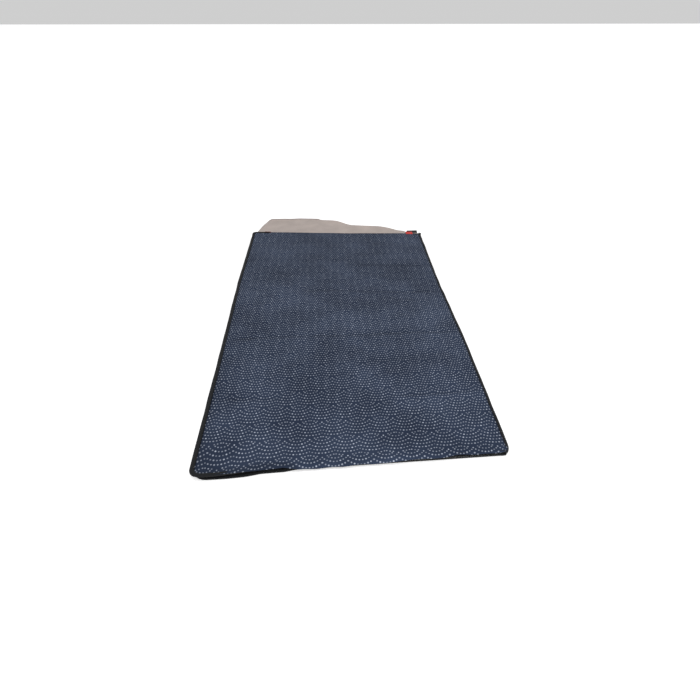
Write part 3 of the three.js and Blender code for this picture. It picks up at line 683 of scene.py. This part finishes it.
# under the placket its lower part is tucked back
tucked = [(0.0000, 0.0098), (0.0040, 0.0102), (0.0095, 0.0099), (0.0122, 0.0086), (0.0126, 0.0068),
          (0.0108, 0.0042), (0.0070, 0.0014), (0.0035, 0.0003), (0.0000, 0.0003)]
tuck = (np.clip((-0.870 - atY) / 0.015, 0, 1) * smooth((atX + 0.16) / 0.08))[:, None, None]
baseProfiles = (np.array(baseBand) * (1 - flare - tuck) + np.array(flared) * flare
                + np.array(tucked) * tuck)
baseScale = 1 + 0.015 * swell(atX, atY, 24, 0.07)
baseBandPiece = sweep("base_binding_tape", np.stack([movedX, movedY, 0 * atX + 0.0002], 1), baseOut,
                      baseProfiles, bindingTape, outScale=baseScale)
finishPiece(baseBandPiece, "base", "black_cloth", "base_binding")

# fold gusset: black tape round the folded right-hand edge, from the underside over to the cover
gusset = {"foot": -0.9010, "turnStart": -0.9015, "rows": 320, "thickness": 0.0011,
          "endRadius": 0.032, "endInset": 0.0165, "stack": 0.022, "headRise": 0.0035, "footDrop": 0.0045}
gussetProfile = [(-0.0100, 0.0223), (-0.0080, 0.0228), (-0.0055, 0.0226), (-0.0030, 0.0214),
                 (-0.0008, 0.0186), (0.0006, 0.0150), (0.0010, 0.0115), (0.0005, 0.0085),
                 (-0.0008, 0.0054), (-0.0030, 0.0028), (-0.0060, 0.0015), (-0.0095, 0.0012),
                 (-0.0130, 0.0012)]
gussetY = np.linspace(gusset["foot"], lie["head"], gusset["rows"])
endTurn = np.clip(1 - (gussetY - gusset["turnStart"]) / gusset["endRadius"], 0, 1)
gussetIn = gusset["endInset"] * (1 - np.sqrt(1 - endTurn ** 2))
gussetX = lie["halfWide"] - gussetIn + 0.0008 * swell(gussetY, gussetY * 0, 31, 0.05)
movedX, movedY = wander(gussetX, gussetY, 0.0)
gussetMesh = sweep("fold_gusset", np.stack([movedX, movedY, 0 * movedY], 1),
                   np.tile([1.0, 0.0], (gusset["rows"], 1)), gussetProfile, bindingTape, closed=False)
spots = np.array([v.co[:] for v in gussetMesh.data.vertices]).reshape(gusset["rows"], -1, 3)
# the side sewn to the cover ends with the cover's hem, further in than the base's
creep = smooth((spots[:, :, 2] - 0.006) / 0.012)
spots[:, :, 1] += lie["hemRight"] * alongShare(spots[:, :, 1]) * creep
# the stack thins towards the foot corner and stands up at the head
headTip = gusset["headRise"] * smooth((gussetY - 0.86) / 0.04)
lowTop = gusset["footDrop"] * smooth((-0.80 - gussetY) / 0.10)
tall = 1 + 0.05 * swell(gussetY, 0 * gussetY, 32, 0.06)
spots[:, :, 2] *= (tall - lowTop / gusset["stack"] + headTip / gusset["stack"])[:, None]
gussetMesh.data.vertices.foreach_set("co", spots.ravel())
thick = gussetMesh.modifiers.new("tapeThickness", "SOLIDIFY")
thick.thickness, thick.offset = gusset["thickness"], 1
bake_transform(gussetMesh)
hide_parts("base_fold_edge", "cover_fold_edge")

# the gusset's short return along the head hem, on the cover
returnX = np.linspace(0.3900, 0.4530, 16)
movedX, movedY = wander(returnX, 0 * returnX + 0.8880, 1.0)
returnZ = coverBand["low"] + 0.0004 + 0.0025 * smooth((returnX - 0.43) / 0.02)
returnPiece = sweep("cover_fold_return", np.stack([movedX, movedY, returnZ], 1),
                    np.tile([0.0, 1.0], (len(returnX), 1)), bandProfile, bindingTape,
                    outScale=np.concatenate([[0.7], np.ones(len(returnX) - 2), [0.75]]))
finishPiece(returnPiece, "cover", "black_cloth")
print("bindings and gusset folded")


# inside layers

def spaced(start, end, count, rim):
    # even places from start to end, closer together within the rims
    close = rim * np.array([0, 0.08, 0.25, 0.5, 0.75])
    return np.concatenate([start + close, np.linspace(start + rim, end - rim, count), end - close[::-1]])


# heights in metres above the floor, and the lining's ripples
layers = {"baseLining": 0.01012, "coverLining": 0.01120, "underside": 0.00100, "headRise": 0.0009,
          "rippleHeight": 0.0011, "rippleSize": 0.11, "liningThickness": 0.0006,
          "undersideThickness": 0.0008, "waddingRim": 0.006, "waddingTop": 0.0196}


def liningRise(x, y):
    edge = np.minimum(0.44 - np.abs(x), 0.89 - np.abs(y))
    wave = swell(x, y, 41, layers["rippleSize"]) * 0.8 + 0.35 * swell(x, y, 42, 0.04)
    return layers["rippleHeight"] * (0.5 + 0.5 * np.clip(wave, -1, 1)) * smooth(edge / 0.05)


def baseLiningAt(x, y):
    px, py = wander(x, y, 0.0)
    atHead = layers["headRise"] * smooth((y - 0.874) / 0.012)
    return px, py, layers["baseLining"] + liningRise(x, y) + atHead


def coverLiningAt(x, y):
    # it follows the skewed hem only towards the head
    px, py = wander(x, y, smooth((y - 0.2) / 0.6))
    return px, py, layers["coverLining"] + liningRise(x, y)


def undersideAt(x, y):
    px, py = wander(x, y, 0.0)
    return px, py, layers["underside"] + 0.0001 * swell(x, y, 43, 0.05)


baseLiningPiece = clothMesh("base_lining_cloth", np.linspace(-0.4385, 0.4370, 150),
                            np.linspace(-0.8885, 0.8990, 300), baseLiningAt, layers["liningThickness"],
                            liningCloth)
finishPiece(baseLiningPiece, "base", "lining_cloth", "base_lining")
coverLiningPiece = clothMesh("cover_lining_cloth", np.linspace(-0.4480, 0.4370, 150),
                             np.linspace(-0.8975, 0.8975, 300), coverLiningAt,
                             layers["liningThickness"], liningCloth)
finishPiece(coverLiningPiece, "cover", "lining_cloth", "cover_lining")

undersidePiece = clothMesh("base_underside_cloth", np.linspace(-0.4385, 0.4385, 120),
                           np.linspace(-0.8885, 0.8885, 240), undersideAt,
                           layers["undersideThickness"], backingCloth)
finishPiece(undersidePiece, "base", "black_cloth", "base_outer_shell")

for half in ("base", "cover"):
    for layer, ending, material, words in (("_reflector", "_foil_layer", foil, "foil"),
                                           ("_heater_sheet", "_heater_cloth", nonwoven, "carrier_cloth")):
        low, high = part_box(half + layer)
        piece = clothMesh(half + ending, np.linspace(low[0], high[0], 60),
                          np.linspace(low[1], high[1], 120),
                          lambda x, y: (x, y, high[2] - 0.00008 * (1 + swell(x, y, 51, 0.02))),
                          (high[2] - low[2]) * 0.8, material)
        finishPiece(piece, half, words, half + layer)
    low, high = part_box(half + "_insulation")

    def waddingTop(x, y):
        # the cover's stays clear of its cloth, the base's fills its space
        if half == "cover":
            return layers["waddingTop"] + 0.0002 * swell(x, y, 52, 0.05)
        return high[2] - 0.0002 * (1 + swell(x, y, 53, 0.05))

    rim = layers["waddingRim"]
    piece = padMesh(half + "_wadding", spaced(low[0], high[0], 90, rim), spaced(low[1], high[1], 180, rim),
                    waddingTop, low[2], rim, wadding)
    finishPiece(piece, half, "wadding", half + "_insulation")
print("inside layers laid")


# neck flap: the lining carried past the head hem, lying out flat

flap = {"seam": 0.8980, "far": 1.2000, "leftSeam": -0.4400, "leftFar": -0.3780,
        # x of the cut right-hand edge at shares of the flap's length
        "rightEdge": ((0, 0.392), (0.12, 0.386), (0.185, 0.360), (0.31, 0.319), (0.375, 0.276),
                      (0.44, 0.227), (0.48, 0.150), (0.57, 0.098), (0.67, 0.059), (0.765, 0.020),
                      (0.865, -0.026), (1, -0.095)),
        "thickness": 0.0008, "seamZ": 0.0109, "lie": 0.0022, "length": 0.29, "edgeWave": 0.0042,
        "facet": 0.0090, "farCurl": 0.0060}


def flapPlan(u, v):
    left = flap["leftSeam"] + (flap["leftFar"] - flap["leftSeam"]) * v ** 1.3
    # the cut edge, with its corners softened
    right = sum(np.interp(np.clip(v + k * 0.02, 0, 1), *zip(*flap["rightEdge"]))
                for k in (-2, -1, 0, 1, 2)) / 5
    x = left + (right - left) * u
    y = flap["seam"] + (flap["far"] - flap["seam"]) * v
    y = y - 0.006 * v * (1 - np.sin(math.pi * np.clip(u * 1.02, 0, 1))) + 0.003 * v * np.sin(9 * u + 1)
    return x, y


def flapAt(u, v):
    x, y = flapPlan(u, v)
    fall = smooth(v * flap["length"] / 0.030)
    flatZ = flap["seamZ"] * (1 - fall) + flap["lie"] * fall
    loose = smooth(v * flap["length"] / 0.05)
    z = flatZ + loose * (0.0016 * (1 + swell(x, y, 61, 0.16)) + 0.0007 * (1 + swell(x, y, 62, 0.05)))
    # the free right-hand edge waves, the left end is turned up in a facet
    z = z + loose * flap["edgeWave"] * smooth((u - 0.80) / 0.2) * (1 + np.sin(v * 17 + 0.6))
    z = z + flap["facet"] * smooth((0.100 - u) / 0.085) * smooth(v / 0.15) * (1 - v ** 4)
    z = z + flap["farCurl"] * smooth((v - 0.90) / 0.1) * smooth(1 - u) * smooth(u / 0.06)
    return x, y, z


flapPiece = clothMesh("neck_flap_cloth", np.linspace(0, 1, 151), np.linspace(0, 1, 71), flapAt,
                      flap["thickness"], liningCloth)
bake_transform(flapPiece)
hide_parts("neck_flap")

# sewn edge along the flap's far side
edging = {"radius": 0.0019, "points": 90}
tubeU = np.linspace(0.0, 1.0, edging["points"])
ex, ey, ez = flapAt(tubeU, 0 * tubeU + 1.0)
edgeProfile = [(edging["radius"] * math.cos(a), edging["radius"] * math.sin(a))
               for a in np.linspace(0, 2 * math.pi, 9)[:-1]]
edgingPiece = sweep("neck_flap_edge_tape", np.stack([ex, ey + 0.0006, ez], 1),
                    np.tile([0.0, 1.0], (len(tubeU), 1)), edgeProfile, edgeThread,
                    outScale=1 + 0.15 * np.sin(tubeU * 61))
finishPiece(edgingPiece, "neck_flap_body", "edging_tape", "neck_flap_edging")
print("neck flap laid out")


# zips: ribbed tapes and coiled nylon elements along the side and the foot

zipPlan = {"pitch": 0.0026, "wire": 0.00042, "facets": 8, "tapeThickness": 0.0006, "tapeReach": 0.0031,
           "tapeStep": 0.008}


def coilMesh(name, node, alongY, body):
    # one helix of nylon, flattened into the box of its node; its turns are drawn at twice the real
    # pitch so that they show
    low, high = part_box(node)
    start, end = low[alongY], high[alongY]
    wire = zipPlan["wire"]
    turns = int((end - start) / zipPlan["pitch"])
    turn = np.linspace(0, turns * 2 * math.pi, turns * zipPlan["facets"] + 1)
    far, near = low[not alongY], high[not alongY]
    outWay = (far + near) / 2 + ((near - far) / 2 - wire) * np.cos(turn)
    upWay = (low[2] + high[2]) / 2 + ((high[2] - low[2]) / 2 - wire) * np.sin(turn)
    run = start + (end - start) * turn / turn[-1]
    centre = np.stack([outWay, run, upWay] if alongY else [run, outWay, upWay], 1)
    tangent = np.gradient(centre, axis=0)
    tangent /= np.linalg.norm(tangent, axis=1)[:, None]
    lead = np.array([0, 1.0, 0] if alongY else [1.0, 0, 0])
    first = np.cross(tangent, lead)
    first /= np.linalg.norm(first, axis=1)[:, None]
    second = np.cross(tangent, first)
    points = np.concatenate([(centre + wire * (first * math.cos(a) + second * math.sin(a)))[:, None]
                             for a in (0, math.pi / 2, math.pi, 3 * math.pi / 2)], 1)
    count = len(centre)
    ring = np.arange(4)
    faces = np.concatenate([np.stack([i * 4 + ring, i * 4 + (ring + 1) % 4, (i + 1) * 4 + (ring + 1) % 4,
                                      (i + 1) * 4 + ring], 1) for i in range(count - 1)])
    piece = makeMesh(name, points.reshape(-1, 3), [*faces.tolist(), (3, 2, 1, 0),
                                                   tuple((count - 1) * 4 + k for k in range(4))])
    piece.data.materials.append(nylon)
    return finishPiece(piece, body, "zip_nylon", node)


def tapeMesh(name, node, alongY, body, wall, coilZ):
    # woven tape: stands against the wall of the half and turns out under its coil
    low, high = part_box(node)
    start, end = low[alongY], high[alongY]
    fixedZ = low[2] - 0.0010 if body == "base" else high[2] + 0.0010
    run = np.linspace(start, end, int((end - start) / zipPlan["tapeStep"]))
    section = [(wall - 0.0006, fixedZ), (wall - 0.0007, (fixedZ + coilZ) / 2), (wall - 0.0010, coilZ),
               (wall - 0.0022, coilZ), (wall - zipPlan["tapeReach"], coilZ)]
    gridRun, pick = np.meshgrid(run, np.arange(len(section)), indexing="ij")
    shape = np.array(section)
    out, up = shape[pick, 0], shape[pick, 1]
    spots = np.stack([out, gridRun, up] if alongY else [gridRun, out, up], -1).reshape(-1, 3)
    width = np.concatenate([[0], np.cumsum(np.hypot(*np.diff(shape, axis=0).T))])
    piece = makeMesh(name, spots, gridFaces(len(run), len(section)),
                     cut=np.stack([gridRun.ravel(), width[pick].ravel()], 1))
    piece.data.materials.append(bindingTape)
    deep = piece.modifiers.new("tapeThickness", "SOLIDIFY")
    deep.thickness, deep.offset = zipPlan["tapeThickness"], 0
    finishPiece(piece, body, "black_cloth", node)


for where, alongY, wall in (("_side", True, -lie["halfWide"]), ("_foot", False, -lie["head"])):
    for body in ("base", "cover"):
        coilMesh(body + where + "_coil", body + where + "_zip_coil", alongY, body)
        coilLow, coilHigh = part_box(body + where + "_zip_coil")
        coilZ = coilLow[2] - 0.0004 if body == "base" else coilHigh[2] + 0.0004
        tapeMesh(body + where + "_tape", body + where + "_zip_tape", alongY, body, wall, coilZ)
print("zips sewn on")

# hem tabs: short loops of red webbing on the head hem
# the left tab's darker webbing is painted shade
tabs = {"hem_tab_left": {"middle": -0.374, "wide": 0.032, "long": 0.011, "tip": 0.0010,
                         "cloth": shadedRedWebbing},
        "hem_tab_right": {"middle": 0.389, "wide": 0.036, "long": 0.026, "tip": 0.0030,
                          "cloth": redWebbing}}
tabThickness = 0.0009
for node, tab in tabs.items():
    def tabAt(x, y):
        px, py = wander(x, 0 * y + 0.8985, 1.0)
        under = coverTop(x, 0 * y + 0.899)
        tip = tab["tip"] * (y / tab["long"]) ** 1.4
        return px, py - tab["long"] * 0.45 + y, under + 0.0010 + tip

    side = tab["wide"] / 2
    piece = clothMesh(node + "_loop", np.linspace(tab["middle"] - side, tab["middle"] + side, 15),
                      np.linspace(0, tab["long"], 11), tabAt, tabThickness, tab["cloth"])
    finishPiece(piece, "cover", "webbing", node)
print("tabs sewn on")


# floor, room light

floorPlan = {"half": 30, "height": -0.0003, "colour": "F6F6F6", "roughness": 0.9, "glow": 0.45}
floorMaterial, tree = newMaterial("paintedFloor")          # pale, perfectly even painted floor
floorBody = add(tree, "BsdfPrincipled",
                {"Base Color": linear(floorPlan["colour"]), "Roughness": floorPlan["roughness"]})
glow = add(tree, "Emission", {"Color": linear("FFFFFF"), "Strength": floorPlan["glow"]})
both = add(tree, "AddShader", {}, {0: floorBody.outputs[0], 1: glow.outputs[0]})
finishMaterial(floorMaterial, tree, both.outputs[0])
floorCorners = [(x * floorPlan["half"], y * floorPlan["half"], floorPlan["height"])
                for x, y in ((-1, -1), (1, -1), (1, 1), (-1, 1))]
floorPiece = makeMesh("floor", floorCorners, [(0, 1, 2, 3)], smooth=False)
floorPiece.data.materials.append(floorMaterial)

lights = {"overhead": {"place": (-0.5, -1.3, 2.7), "size": 3.4, "power": 33.0},
          "window": {"place": (1.5, -2.5, 2.0), "size": 2.4, "power": 28.0}}
roomLight = {"colour": "FFFFFF", "strength": 0.62}
for name, facts in lights.items():
    lamp = bpy.data.lights.new(name, "AREA")
    lamp.size, lamp.energy = facts["size"], facts["power"]
    hung = bpy.data.objects.new(name, lamp)
    aim = -np.array(facts["place"])                        # towards the middle of the blanket
    hung.location = facts["place"]
    hung.rotation_euler = (math.acos(-aim[2] / np.linalg.norm(aim)), 0, math.atan2(-aim[0], aim[1]))
    bpy.context.scene.collection.objects.link(hung)
room = bpy.data.worlds.new("room")
room.use_nodes = True
background = room.node_tree.nodes["Background"]
background.inputs[0].default_value = linear(roomLight["colour"])
background.inputs[1].default_value = roomLight["strength"]
bpy.context.scene.world = room
bpy.context.scene.view_settings.view_transform = "Standard"
print("floor and light set")
